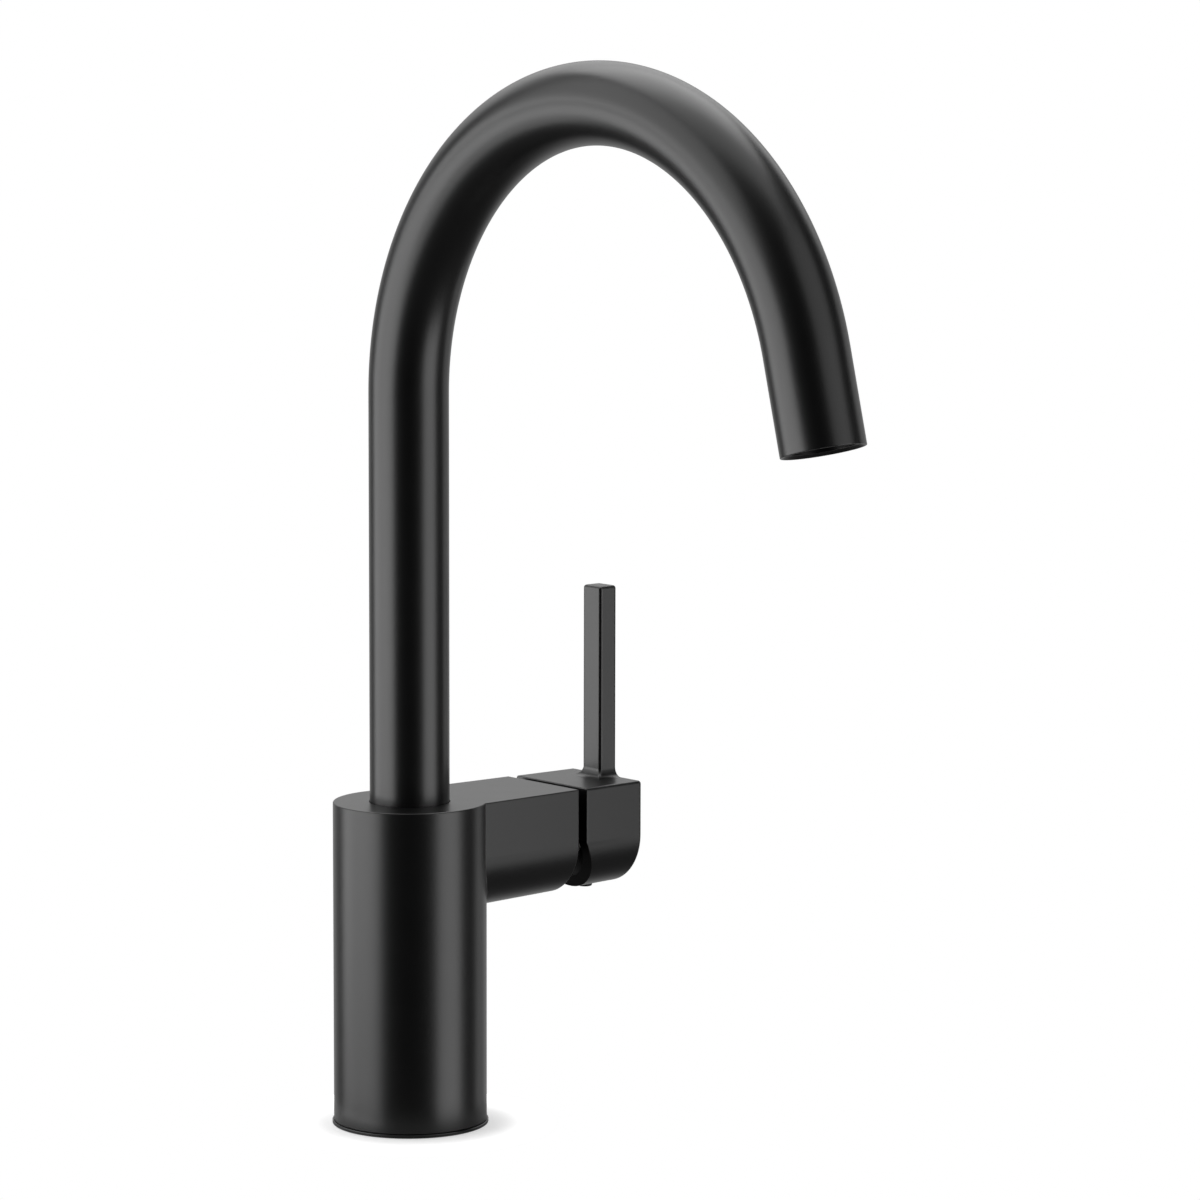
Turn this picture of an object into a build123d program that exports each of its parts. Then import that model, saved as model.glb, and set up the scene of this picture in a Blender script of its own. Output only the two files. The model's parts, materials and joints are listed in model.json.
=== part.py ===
# High-arc kitchen faucet: round body on a deck, swivelling arched spout, side lever on a level arm.
# The origin is the middle of the base on the deck, +Z is up, the arm points along +X and the spout
# reaches over -Y. All sizes are millimetres.
import math
import os

from build123d import *

# Clearances, all radial or face to face
slip_fit = 0.05
running_fit = 0.10
loose_fit = 0.30
glide_gap = 0.05

# Spout tube
tube_diameter = 28.6
tube_wall = 1.5
riser_length = 146.5
arch_radius = 104.6
arch_angle = 165.3
drop_length = 32.7
outlet_land = 0.45

# Body shell and base
body_diameter = 55.1
body_height = 117.0
body_edge_radius = 0.5
body_seam_chamfer = 0.3
shell_wall = 3.0
top_plate_thickness = 6.0
top_lip_thickness = 1.5
base_ring_overhang = 0.6
base_ring_height = 1.2
base_ring_edge_radius = 0.25
base_lip_height = 2.0
gasket_width = 3.0
gasket_thickness = 0.6
gasket_land = 1.6

# Arm, a U section that tapers towards its end
arm_axis_drop = 20.0
arm_width = 40.2
arm_taper_angle = 1.4
arm_end_edge_radius = 0.4
arm_root_radius = 0.5

# Valve core and the ring that holds it in the shell
core_side_gap = 1.55
core_flange_thickness = 5.0
core_waist_wall = 2.0
core_shoulder_depth = 8.0
core_foot_recess = 0.6
core_flat_wall = 1.3
retainer_thickness = 1.2
retainer_height_gap = 0.2
retainer_groove_depth = 1.05
retainer_width = 3.1
retainer_opening_angle = 40.0
inlet_thread_radius = 4.5
inlet_thread_depth = 14.0
inlet_wall = 2.5
inlet_angle = 75.0
water_channel_radius = 3.0
stud_thread_radius = 3.4
stud_thread_depth = 25.0
stud_spacing = 24.0

# Spout bearing and spigot
bearing_wall = 0.8
bearing_flange_width = 1.3
bearing_flange_thickness = 1.0
spout_pocket_gap = 0.7
spout_pocket_depth = 7.5
glide_washer_thickness = 1.0
spigot_radius = 10.0
spigot_length = 13.0
spigot_bore_radius = 7.2
spigot_flange_thickness = 2.0
spigot_plug_length = 12.0
spigot_plug_wall = 3.6
socket_chamber_height = 7.5
o_ring_section = 1.7
o_ring_groove_width = 2.2
o_ring_first_depth = 3.0
o_ring_pitch = 3.6
snap_ring_thickness = 1.5
snap_ring_width = 2.2
snap_ring_inset = 1.2
snap_ring_opening_angle = 30.0

# Cartridge, stacked along the arm from the core's flat outwards
cartridge_diameter = 28.0
cartridge_wall = 1.6
adapter_length = 8.0
cartridge_base_length = 5.0
fixed_disc_thickness = 4.0
disc_gap = 0.02
moving_disc_thickness = 4.0
disc_edge_gap = 0.25
carrier_thickness = 7.0
guide_gap = 0.5
guide_flange_thickness = 5.0
guide_neck_radius = 9.0
guide_neck_length = 9.0
housing_front_thickness = 4.5
nut_length = 5.8
nut_lip = 1.5
nut_thread_height = 1.85
nut_recess = 0.7
nut_slot_width = 4.0
nut_slot_depth = 2.0
port_radius = 2.2
port_side = 5.5
port_rise = 2.2
mixed_port_radius = 2.6
mixed_port_drop = 6.3
port_seal_section = 1.4
mixing_slot_radius = 4.2
mixing_slot_half_length = 2.6
mixing_slot_drop = 6.4
mixing_slot_depth = 2.0
peg_radius = 1.5
peg_length = 3.0
peg_side = 10.0
peg_drop = 4.0

# Stem and its pin
pivot_offset = 1.0
tilt_limit = 20.0
pin_radius = 1.5
pin_recess = 0.4
stem_side = 6.4
stem_ball_radius = 2.5
stem_ball_depth = 2.8
stem_neck_radius = 1.6
stem_shoulder_offset = 9.4
stem_inside_hub = 13.5
slot_gap = 0.2

# Trim dome over the nut
dome_side_gap = 1.35
dome_skirt_length = 2.2
dome_length = 6.2
dome_wall = 1.2
dome_opening_radius = 9.6
dome_sleeve_length = 4.0

# Handle: hub block and upright lever in one piece
hub_gap = 3.65
hub_length = 27.4
hub_corner_radius = 1.2
hub_relief_angle = 25.0
hub_pocket_gap = 1.1
hub_pocket_depth = 8.7
hub_socket_radius = 8.0
hub_socket_depth = 15.0
hub_edge_radius = 0.4
lever_width = 9.9
lever_thickness = 8.1
lever_height = 71.0
lever_edge_radius = 1.15
lever_root_radius = 3.4
bush_end_gap = 0.4
set_screw_radius = 2.1
set_screw_inset = 11.0
set_screw_recess = 4.0
set_screw_hex_radius = 1.4
set_screw_hex_depth = 2.5
plug_head_radius = 2.7
plug_head_height = 1.3
plug_seat_depth = 0.35
plug_shank_length = 3.0

# Aerator in the spout's end
outlet_recess = 1.0
sleeve_length = 16.0
sleeve_wall = 1.5
aerator_recess = 2.2
aerator_length = 10.0
aerator_wall = 1.2
honeycomb_thickness = 2.5
honeycomb_hole_radius = 0.75
honeycomb_pitch = 1.9
honeycomb_ring_width = 1.6
key_notch_count = 8
key_notch_width = 1.6
key_notch_depth = 1.0
screen_thickness = 0.5
screen_hole_radius = 0.55
screen_hole_pitch = 1.8
regulator_thickness = 3.0
regulator_hole_radius = 1.1
regulator_hole_pitch_radius = 4.5
regulator_hole_count = 6
washer_thickness = 1.6
washer_width = 2.6

# Heights up the body
axis_z = body_height - arm_axis_drop
core_top_z = body_height - top_plate_thickness
base_lip_top_z = base_ring_height + base_lip_height
retainer_bottom_z = base_lip_top_z + retainer_height_gap
retainer_top_z = retainer_bottom_z + retainer_thickness
spout_pocket_z = core_top_z - spout_pocket_depth
glide_washer_top_z = spout_pocket_z + glide_washer_thickness
spigot_flange_z = glide_washer_top_z + glide_gap
tube_bottom_z = spigot_flange_z + spigot_flange_thickness
spigot_bottom_z = spigot_flange_z - spigot_length
socket_bottom_z = spigot_bottom_z - socket_chamber_height
core_shoulder_z = socket_bottom_z - core_shoulder_depth
riser_top_z = body_height + riser_length

# Radii about the body's axis
body_radius = body_diameter / 2
shell_inner_radius = body_radius - shell_wall
core_radius = shell_inner_radius - core_side_gap
core_flange_radius = shell_inner_radius - running_fit
retainer_radius = shell_inner_radius + retainer_groove_depth - running_fit
retainer_inner_radius = retainer_radius - retainer_width
core_foot_radius = retainer_inner_radius - loose_fit
base_ring_inner_radius = core_foot_radius + loose_fit
base_ring_diameter = body_diameter + 2 * base_ring_overhang
base_ring_radius = base_ring_diameter / 2
gasket_outer_radius = base_ring_radius - gasket_land
gasket_inner_radius = gasket_outer_radius - gasket_width
tube_radius = tube_diameter / 2
tube_inner_radius = tube_radius - tube_wall
bearing_inner_radius = tube_radius + running_fit
bearing_radius = bearing_inner_radius + bearing_wall
bearing_flange_radius = bearing_radius + bearing_flange_width
bearing_recess_radius = bearing_flange_radius + loose_fit
spout_pocket_radius = tube_radius + spout_pocket_gap
socket_radius = spigot_radius + running_fit
inlet_pitch_radius = core_foot_radius - inlet_wall - inlet_thread_radius
core_waist_radius = inlet_pitch_radius + water_channel_radius + core_waist_wall
inlet_x = inlet_pitch_radius * math.cos(math.radians(inlet_angle))
inlet_y = inlet_pitch_radius * math.sin(math.radians(inlet_angle))

# Distances along the arm's axis
core_flat_x = bearing_recess_radius + core_flat_wall
cartridge_x = core_flat_x + adapter_length
fixed_disc_x = cartridge_x + cartridge_base_length
moving_disc_x = fixed_disc_x + fixed_disc_thickness + disc_gap
carrier_x = moving_disc_x + moving_disc_thickness
carrier_end_x = carrier_x + carrier_thickness
guide_x = carrier_end_x + guide_gap
guide_neck_x = guide_x + guide_flange_thickness
housing_front_x = guide_neck_x + running_fit
nut_x = housing_front_x + housing_front_thickness
dome_x = nut_x + nut_length
arm_end_x = dome_x + nut_recess
hub_x = arm_end_x + hub_gap
hub_end_x = hub_x + hub_length
hub_pocket_x = hub_x + hub_pocket_depth
stem_end_x = hub_pocket_x + stem_inside_hub
pivot_x = nut_x + pivot_offset
ball_x = carrier_end_x - stem_ball_depth
shoulder_x = pivot_x - stem_shoulder_offset
set_screw_x = hub_end_x - set_screw_inset

# Radii about the arm's axis
cartridge_radius = cartridge_diameter / 2
housing_inner_radius = cartridge_radius - cartridge_wall
arm_bore_radius = cartridge_radius + running_fit
nut_thread_radius = arm_bore_radius + nut_thread_height
nut_inner_radius = cartridge_radius - nut_lip
dome_radius = nut_thread_radius - dome_side_gap
hub_pocket_radius = dome_radius + hub_pocket_gap
disc_travel = (pivot_x - ball_x) * math.sin(math.radians(tilt_limit))
moving_disc_radius = housing_inner_radius - disc_travel / 2 - disc_edge_gap
taper_slope = math.tan(math.radians(arm_taper_angle))

# Ends of the spout tube: the arch turns about a level axis and the drop runs on straight from it
arch_turn = math.radians(arch_angle)
drop_direction = Vector(0, -math.sin(arch_turn), math.cos(arch_turn))
arch_end_y = arch_radius * (math.cos(arch_turn) - 1)
arch_end_z = riser_top_z + arch_radius * math.sin(arch_turn)
arch_end = Vector(0, arch_end_y, arch_end_z)
outlet = arch_end + drop_direction * drop_length

# Working planes: square to the arm looking outwards, along the arm from the side, and square to the outlet
arm_plane = Plane(origin=(0, 0, axis_z), x_dir=(0, 1, 0), z_dir=(1, 0, 0))
side_plane = Plane(origin=(0, 0, axis_z), x_dir=(1, 0, 0), z_dir=(0, -1, 0))
arm_axis = Axis((0, 0, axis_z), (1, 0, 0))
outlet_plane = Plane(origin=outlet, x_dir=(1, 0, 0), z_dir=drop_direction)
from_face = (Align.CENTER, Align.CENTER, Align.MIN)

# Water ports of the cartridge, across the arm's axis: hot, cold and mixed
supply_ports = [(port_side, port_rise), (-port_side, port_rise)]
mixed_ports = [(0, -mixed_port_drop)]
peg_points = [(peg_side, -peg_drop), (-peg_side, -peg_drop)]
supply_seal_radius = port_radius + running_fit + port_seal_section / 2
mixed_seal_radius = mixed_port_radius + running_fit + port_seal_section / 2


def arm_half_width(x):
    # the U section narrows evenly along the arm and on through the hub
    return arm_width / 2 - (x - arm_end_x) * taper_slope


def add_arm_block(start_x, end_x):
    # a stretch of the arm: flat top and upright sides above the axis, half a cone below it
    start_half = arm_half_width(start_x)
    end_half = arm_half_width(end_x)
    left_side = [(start_x, start_half), (end_x, end_half)]
    right_side = [(end_x, -end_half), (start_x, -start_half)]
    with BuildSketch(Plane.XY.offset(axis_z)) as plan:
        with BuildLine():
            Polyline(*left_side, *right_side, close=True)
        make_face()
    extrude(plan.sketch, amount=arm_axis_drop)
    with BuildSketch(Plane.XY.offset(axis_z)) as half_plan:
        with BuildLine():
            Polyline(*left_side, (end_x, 0), (start_x, 0), close=True)
        make_face()
    revolve(half_plan.sketch, axis=arm_axis, revolution_arc=-180)


def open_ring(plane, outer_radius, inner_radius, thickness, opening_angle):
    # spring ring: a flat ring with a gap on its -Y side
    wedge_depth = 2 * outer_radius
    wedge_half = wedge_depth * math.tan(math.radians(opening_angle / 2))
    with BuildSketch(plane) as section:
        Circle(outer_radius)
        Circle(inner_radius, mode=Mode.SUBTRACT)
        with BuildLine():
            Polyline((0, 0), (-wedge_half, -wedge_depth), (wedge_half, -wedge_depth), close=True)
        make_face(mode=Mode.SUBTRACT)
    extrude(section.sketch, amount=thickness)


def drill(mouth, target, radius):
    # straight waterway from a mouth to a target point, started outside so that it breaks the face cleanly
    run = target - mouth
    with BuildSketch(Plane(origin=mouth - run.normalized() * radius, z_dir=run)) as section:
        Circle(radius)
    extrude(section.sketch, amount=run.length + radius, mode=Mode.SUBTRACT)


def seat_port_seals(plane):
    # pockets for round rubber rings at the mouths of the three ports, sunk into the face at the plane
    with BuildSketch(plane) as pockets:
        with Locations(*supply_ports):
            Circle(supply_seal_radius + port_seal_section / 2 + running_fit)
        with Locations(*mixed_ports):
            Circle(mixed_seal_radius + port_seal_section / 2 + running_fit)
    extrude(pockets.sketch, amount=port_seal_section + glide_gap, mode=Mode.SUBTRACT)


def add_port_seals():
    # the three rubber rings themselves, on the working plane of the part
    with Locations(*supply_ports):
        Torus(supply_seal_radius, port_seal_section / 2)
    with Locations(*mixed_ports):
        Torus(mixed_seal_radius, port_seal_section / 2)


def cut_ports(plane, depth):
    # the three water ports, straight through along the arm's axis
    with BuildSketch(plane) as ports:
        with Locations(*supply_ports):
            Circle(port_radius)
        with Locations(*mixed_ports):
            Circle(mixed_port_radius)
    extrude(ports.sketch, amount=depth, mode=Mode.SUBTRACT)


def hex_points(pitch, limit):
    # hexagonal grid of points inside a circle
    rows = int(limit / pitch / math.sin(math.pi / 3)) + 1
    columns = int(limit / pitch) + 1
    points = []
    for row in range(-rows, rows + 1):
        for column in range(-columns, columns + 1):
            x = (column + (row % 2) / 2) * pitch
            y = row * pitch * math.sin(math.pi / 3)
            if math.hypot(x, y) < limit:
                points.append((x, y))
    return points


# Base ring: carries the shell, with a lip that centres it and a groove below for the gasket
with BuildPart() as base_ring:
    Cylinder(base_ring_radius, base_ring_height, align=from_face)
    fillet(base_ring.edges().filter_by(GeomType.CIRCLE), base_ring_edge_radius)
    with BuildSketch(Plane.XY.offset(base_ring_height)):
        Circle(shell_inner_radius - running_fit)
    extrude(amount=base_lip_height)
    with BuildSketch():
        Circle(base_ring_inner_radius)
    extrude(amount=base_lip_top_z, mode=Mode.SUBTRACT)
    with BuildSketch():
        Circle(gasket_outer_radius + running_fit)
        Circle(gasket_inner_radius - running_fit, mode=Mode.SUBTRACT)
    extrude(amount=gasket_thickness, mode=Mode.SUBTRACT)
base_ring.part.label = "base_ring"

# Gasket between the base ring and the deck
with BuildPart() as base_gasket:
    with BuildSketch():
        Circle(gasket_outer_radius)
        Circle(gasket_inner_radius, mode=Mode.SUBTRACT)
    extrude(amount=gasket_thickness)
base_gasket.part.label = "base_gasket"

# Body shell: hollow round body with the arm grown out of its side
with BuildPart() as body_shell:
    with BuildSketch(Plane.XY.offset(base_ring_height)):
        Circle(body_radius)
    extrude(amount=body_height - base_ring_height)
    add_arm_block(0, arm_end_x)
    root_edges = body_shell.edges().filter_by_position(Axis.X, 0, body_radius, (False, False))
    fillet(root_edges.filter_by_position(Axis.Z, 0, body_height, (False, False)), arm_root_radius)
    fillet(body_shell.faces().sort_by(Axis.Z)[-1].edges(), body_edge_radius)
    fillet(body_shell.faces().filter_by(Axis.X).sort_by(Axis.X)[-1].edges(), arm_end_edge_radius)
    seam_edge = body_shell.edges().filter_by(GeomType.CIRCLE).sort_by(Axis.Z)[0]
    chamfer(seam_edge, body_seam_chamfer)
    with BuildSketch(Plane.XY.offset(base_ring_height)):
        Circle(shell_inner_radius)
    extrude(amount=core_top_z - base_ring_height, mode=Mode.SUBTRACT)
    with BuildSketch(Plane.XY.offset(retainer_bottom_z - running_fit)):
        Circle(retainer_radius + running_fit)
    extrude(amount=retainer_thickness + 2 * running_fit, mode=Mode.SUBTRACT)
    with BuildSketch(Plane.XY.offset(core_top_z)):
        Circle(bearing_radius + slip_fit)
    extrude(amount=top_plate_thickness - top_lip_thickness, mode=Mode.SUBTRACT)
    with BuildSketch(Plane.XY.offset(body_height - top_lip_thickness)):
        Circle(tube_radius + loose_fit)
    extrude(amount=top_lip_thickness, mode=Mode.SUBTRACT)
    with BuildSketch(arm_plane):
        Circle(arm_bore_radius)
    extrude(amount=arm_end_x, mode=Mode.SUBTRACT)
    with BuildSketch(arm_plane.offset(nut_x)):
        Circle(nut_thread_radius)
    extrude(amount=arm_end_x - nut_x, mode=Mode.SUBTRACT)
body_shell.part.label = "body_shell"

# Valve core: brass column with the waterways, the spout's socket and the threads below
with BuildPart() as valve_core:
    with BuildSketch(Plane.XY.offset(core_foot_recess)):
        Circle(core_foot_radius)
    extrude(amount=retainer_top_z - core_foot_recess)
    with BuildSketch(Plane.XY.offset(retainer_top_z)):
        Circle(core_flange_radius)
    extrude(amount=core_flange_thickness)
    with BuildSketch(Plane.XY.offset(retainer_top_z)):
        Circle(core_waist_radius)
    extrude(amount=core_shoulder_z - retainer_top_z)
    with BuildSketch(Plane.XY.offset(core_shoulder_z)):
        Circle(core_radius)
    extrude(amount=core_top_z - core_shoulder_z)
    with BuildSketch(Plane.XY.offset(axis_z - cartridge_radius - loose_fit)):
        with Locations((core_flat_x, 0)):
            Rectangle(core_radius, body_diameter, align=(Align.MIN, Align.CENTER))
    extrude(amount=body_height, mode=Mode.SUBTRACT)
    with BuildSketch(Plane.XY.offset(core_top_z - bearing_flange_thickness)):
        Circle(bearing_recess_radius)
    extrude(amount=bearing_flange_thickness, mode=Mode.SUBTRACT)
    with BuildSketch(Plane.XY.offset(spout_pocket_z)):
        Circle(spout_pocket_radius)
    extrude(amount=spout_pocket_depth, mode=Mode.SUBTRACT)
    with BuildSketch(Plane.XY.offset(socket_bottom_z)):
        Circle(socket_radius)
    extrude(amount=core_top_z - socket_bottom_z, mode=Mode.SUBTRACT)
    with BuildSketch(Plane.XY.offset(spigot_bottom_z + snap_ring_inset - running_fit)):
        Circle(spigot_radius + snap_ring_width / 2)
    extrude(amount=snap_ring_thickness + 2 * running_fit, mode=Mode.SUBTRACT)
    with BuildSketch(Plane.XY.offset(core_foot_recess)):
        with Locations((inlet_x, inlet_y), (inlet_x, -inlet_y)):
            Circle(inlet_thread_radius)
    extrude(amount=inlet_thread_depth, mode=Mode.SUBTRACT)
    with BuildSketch(Plane.XY.offset(core_foot_recess)):
        with Locations((inlet_x, inlet_y), (inlet_x, -inlet_y)):
            Circle(water_channel_radius)
    extrude(amount=axis_z + port_rise - core_foot_recess, mode=Mode.SUBTRACT)
    with BuildSketch(Plane.XY.offset(core_foot_recess)):
        with GridLocations(stud_spacing, 0, 2, 1):
            Circle(stud_thread_radius)
    extrude(amount=stud_thread_depth, mode=Mode.SUBTRACT)
    with BuildSketch(arm_plane.offset(core_flat_x)):
        with Locations(*peg_points):
            Circle(peg_radius + running_fit)
    extrude(amount=-peg_length - running_fit, mode=Mode.SUBTRACT)
    for side in (1, -1):
        supply_mouth = Vector(core_flat_x, side * port_side, axis_z + port_rise)
        drill(supply_mouth, Vector(inlet_x, side * inlet_y, axis_z + port_rise), port_radius)
    mixed_mouth = Vector(core_flat_x, 0, axis_z - mixed_port_drop)
    chamber_middle_z = socket_bottom_z + socket_chamber_height / 2 - snap_ring_thickness
    drill(mixed_mouth, Vector(0, 0, chamber_middle_z), mixed_port_radius)
valve_core.part.label = "valve_core"

# Spring ring in the shell's groove that holds the core up
with BuildPart() as core_retainer:
    open_ring(
        Plane.XY.offset(retainer_bottom_z),
        retainer_radius,
        retainer_inner_radius,
        retainer_thickness,
        retainer_opening_angle,
    )
core_retainer.part.label = "core_retainer"

# Plastic bearing that guides the spout tube in the top of the shell
bearing_length = bearing_flange_thickness + top_plate_thickness - top_lip_thickness - glide_gap
with BuildPart(Plane.XY.offset(core_top_z - bearing_flange_thickness)) as spout_bearing:
    Cylinder(bearing_flange_radius, bearing_flange_thickness, align=from_face)
    Cylinder(bearing_radius, bearing_length, align=from_face)
    Hole(bearing_inner_radius)
spout_bearing.part.label = "spout_bearing"

# Washer that the spout turns on
with BuildPart() as glide_washer:
    with BuildSketch(Plane.XY.offset(spout_pocket_z)):
        Circle(spout_pocket_radius - running_fit)
        Circle(spigot_radius + loose_fit, mode=Mode.SUBTRACT)
    extrude(amount=glide_washer_thickness)
glide_washer.part.label = "glide_washer"

# Spout tube: riser, arch and drop in one bend, with the outlet's edge chamfered inside to a narrow land
with BuildPart() as spout_tube:
    with BuildLine(Plane.YZ) as spout_path:
        Line((0, tube_bottom_z), (0, riser_top_z))
        arch = CenterArc((-arch_radius, riser_top_z), arch_radius, 0, arch_angle)
        Line(arch @ 1, (outlet.Y, outlet.Z))
    with BuildSketch(Plane.XY.offset(tube_bottom_z)):
        Circle(tube_radius)
        Circle(tube_inner_radius, mode=Mode.SUBTRACT)
    sweep(path=spout_path.line)
    outlet_edges = spout_tube.edges().filter_by(GeomType.CIRCLE).sort_by_distance(outlet)[:2]
    chamfer(outlet_edges.sort_by(SortBy.RADIUS)[0], tube_wall - outlet_land)
spout_tube.part.label = "spout_tube"

# Spigot brazed into the foot of the tube, turning in the core's socket
with BuildPart(Plane.XY.offset(spigot_bottom_z)) as spout_spigot:
    Cylinder(spigot_radius, spigot_length, align=from_face)
    with BuildSketch(Plane.XY.offset(spigot_flange_z)):
        Circle(tube_radius - running_fit)
    extrude(amount=spigot_flange_thickness)
    with BuildSketch(Plane.XY.offset(tube_bottom_z)):
        Circle(tube_inner_radius - slip_fit)
    extrude(amount=spigot_plug_length)
    with BuildSketch(Plane.XY.offset(tube_bottom_z)):
        Circle(tube_inner_radius - spigot_plug_wall)
    extrude(amount=spigot_plug_length, mode=Mode.SUBTRACT)
    Hole(spigot_bore_radius)
    for groove in range(2):
        groove_z = spigot_flange_z - o_ring_first_depth - groove * o_ring_pitch
        with BuildSketch(Plane.XY.offset(groove_z - o_ring_groove_width / 2)):
            Circle(spigot_radius)
            Circle(spigot_radius - o_ring_section, mode=Mode.SUBTRACT)
        extrude(amount=o_ring_groove_width, mode=Mode.SUBTRACT)
    with BuildSketch(Plane.XY.offset(spigot_bottom_z + snap_ring_inset - running_fit)):
        Circle(spigot_radius)
        Circle(spigot_radius - snap_ring_width / 2 - running_fit, mode=Mode.SUBTRACT)
    extrude(amount=snap_ring_thickness + 2 * running_fit, mode=Mode.SUBTRACT)
spout_spigot.part.label = "spout_spigot"

# Two rubber rings that seal the spigot
with BuildPart(Plane.XY.offset(spigot_flange_z - o_ring_first_depth)) as spigot_seals:
    with Locations((0, 0, 0), (0, 0, -o_ring_pitch)):
        Torus(spigot_radius - o_ring_section / 2 + slip_fit, o_ring_section / 2)
spigot_seals.part.label = "spigot_seals"

# Spring ring that keeps the spout from lifting out
with BuildPart() as snap_ring:
    open_ring(
        Plane.XY.offset(spigot_bottom_z + snap_ring_inset),
        spigot_radius + snap_ring_width / 2 - running_fit,
        spigot_radius - snap_ring_width / 2,
        snap_ring_thickness,
        snap_ring_opening_angle,
    )
snap_ring.part.label = "snap_ring"

# Adapter that carries the three ports from the core to the cartridge
with BuildPart(arm_plane.offset(core_flat_x)) as cartridge_adapter:
    Cylinder(cartridge_radius, adapter_length, align=from_face)
    cut_ports(arm_plane.offset(core_flat_x), adapter_length)
    seat_port_seals(arm_plane.offset(core_flat_x))
    with BuildSketch(arm_plane.offset(cartridge_x)):
        with Locations(*peg_points):
            Circle(peg_radius + running_fit)
    extrude(amount=-peg_length - running_fit, mode=Mode.SUBTRACT)
    with BuildSketch(arm_plane.offset(core_flat_x)):
        with Locations(*peg_points):
            Circle(peg_radius)
    extrude(amount=-peg_length)
cartridge_adapter.part.label = "cartridge_adapter"

with BuildPart(arm_plane.offset(core_flat_x + port_seal_section / 2)) as adapter_seals:
    add_port_seals()
adapter_seals.part.label = "adapter_seals"

# Cartridge base with its own seals and pegs
with BuildPart(arm_plane.offset(cartridge_x)) as cartridge_base:
    Cylinder(cartridge_radius, cartridge_base_length, align=from_face)
    cut_ports(arm_plane.offset(cartridge_x), cartridge_base_length)
    seat_port_seals(arm_plane.offset(cartridge_x))
    with BuildSketch(arm_plane.offset(cartridge_x)):
        with Locations(*peg_points):
            Circle(peg_radius)
    extrude(amount=-peg_length)
cartridge_base.part.label = "cartridge_base"

with BuildPart(arm_plane.offset(cartridge_x + port_seal_section / 2)) as cartridge_seals:
    add_port_seals()
cartridge_seals.part.label = "cartridge_seals"

# Cartridge housing, open towards its base, with a round mouth for the stem guide
with BuildPart(arm_plane.offset(fixed_disc_x)) as cartridge_housing:
    Cylinder(cartridge_radius, nut_x - fixed_disc_x, align=from_face)
    Cylinder(housing_inner_radius, housing_front_x - fixed_disc_x, align=from_face, mode=Mode.SUBTRACT)
    Hole(guide_neck_radius + loose_fit)
cartridge_housing.part.label = "cartridge_housing"

# Fixed ceramic disc with the three ports
with BuildPart(arm_plane.offset(fixed_disc_x)) as fixed_disc:
    Cylinder(housing_inner_radius - slip_fit, fixed_disc_thickness, align=from_face)
    cut_ports(arm_plane.offset(fixed_disc_x), fixed_disc_thickness)
fixed_disc.part.label = "fixed_disc"

# Moving ceramic disc, shut at rest: its mixing slot lies over the mixed port alone
with BuildPart() as moving_disc:
    with BuildSketch(arm_plane.offset(moving_disc_x)):
        with Locations((0, -disc_travel / 2)):
            Circle(moving_disc_radius)
    extrude(amount=moving_disc_thickness)
    with BuildSketch(arm_plane.offset(moving_disc_x)):
        with Locations((0, -mixing_slot_drop)):
            SlotCenterToCenter(2 * mixing_slot_half_length, 2 * mixing_slot_radius)
    extrude(amount=mixing_slot_depth, mode=Mode.SUBTRACT)
moving_disc.part.label = "moving_disc"

# Carrier behind the moving disc, with the pocket for the stem's ball
with BuildPart() as disc_carrier:
    with BuildSketch(arm_plane.offset(carrier_x)):
        with Locations((0, -disc_travel / 2)):
            Circle(moving_disc_radius)
    extrude(amount=carrier_thickness)
    with BuildSketch(arm_plane.offset(carrier_end_x)):
        Circle(stem_ball_radius + slot_gap)
    extrude(amount=-stem_ball_depth - stem_ball_radius - slot_gap, mode=Mode.SUBTRACT)
disc_carrier.part.label = "disc_carrier"

# Stem guide: turns in the housing and holds the pin that the stem tips on
tilt = math.radians(tilt_limit)
slot_top = stem_shoulder_offset * math.sin(tilt) + stem_side / 2 * math.cos(tilt) + slot_gap
guide_end_reach = guide_neck_x + guide_neck_length - pivot_x
slot_bottom = -guide_end_reach * math.tan(tilt) - stem_side / 2 / math.cos(tilt) - slot_gap
pin_half_length = guide_neck_radius - pin_recess
with BuildPart(arm_plane.offset(guide_x)) as stem_guide:
    Cylinder(housing_inner_radius - running_fit, guide_flange_thickness, align=from_face)
    Cylinder(guide_neck_radius, guide_flange_thickness + guide_neck_length, align=from_face)
    with BuildSketch(arm_plane.offset(guide_x)):
        with Locations((0, slot_bottom)):
            Rectangle(stem_side + 2 * slot_gap, slot_top - slot_bottom, align=(Align.CENTER, Align.MIN))
    extrude(amount=guide_flange_thickness + guide_neck_length, mode=Mode.SUBTRACT)
    with BuildSketch(side_plane):
        with Locations((pivot_x, 0)):
            Circle(pin_radius + slip_fit)
    extrude(amount=guide_neck_radius, both=True, mode=Mode.SUBTRACT)
stem_guide.part.label = "stem_guide"

with BuildPart() as stem_pin:
    with BuildSketch(side_plane):
        with Locations((pivot_x, 0)):
            Circle(pin_radius)
    extrude(amount=pin_half_length, both=True)
stem_pin.part.label = "stem_pin"

# Stem: ball in the carrier, bar on the pin, square end in the hub
with BuildPart(arm_plane.offset(ball_x)) as stem:
    Sphere(stem_ball_radius)
    Cylinder(stem_neck_radius, shoulder_x - ball_x, align=from_face)
    with BuildSketch(arm_plane.offset(shoulder_x)):
        Rectangle(stem_side, stem_side)
    extrude(amount=stem_end_x - shoulder_x)
    with BuildSketch(side_plane):
        with Locations((pivot_x, 0)):
            Circle(pin_radius + slip_fit)
    extrude(amount=stem_side, both=True, mode=Mode.SUBTRACT)
stem.part.label = "stem"

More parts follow.
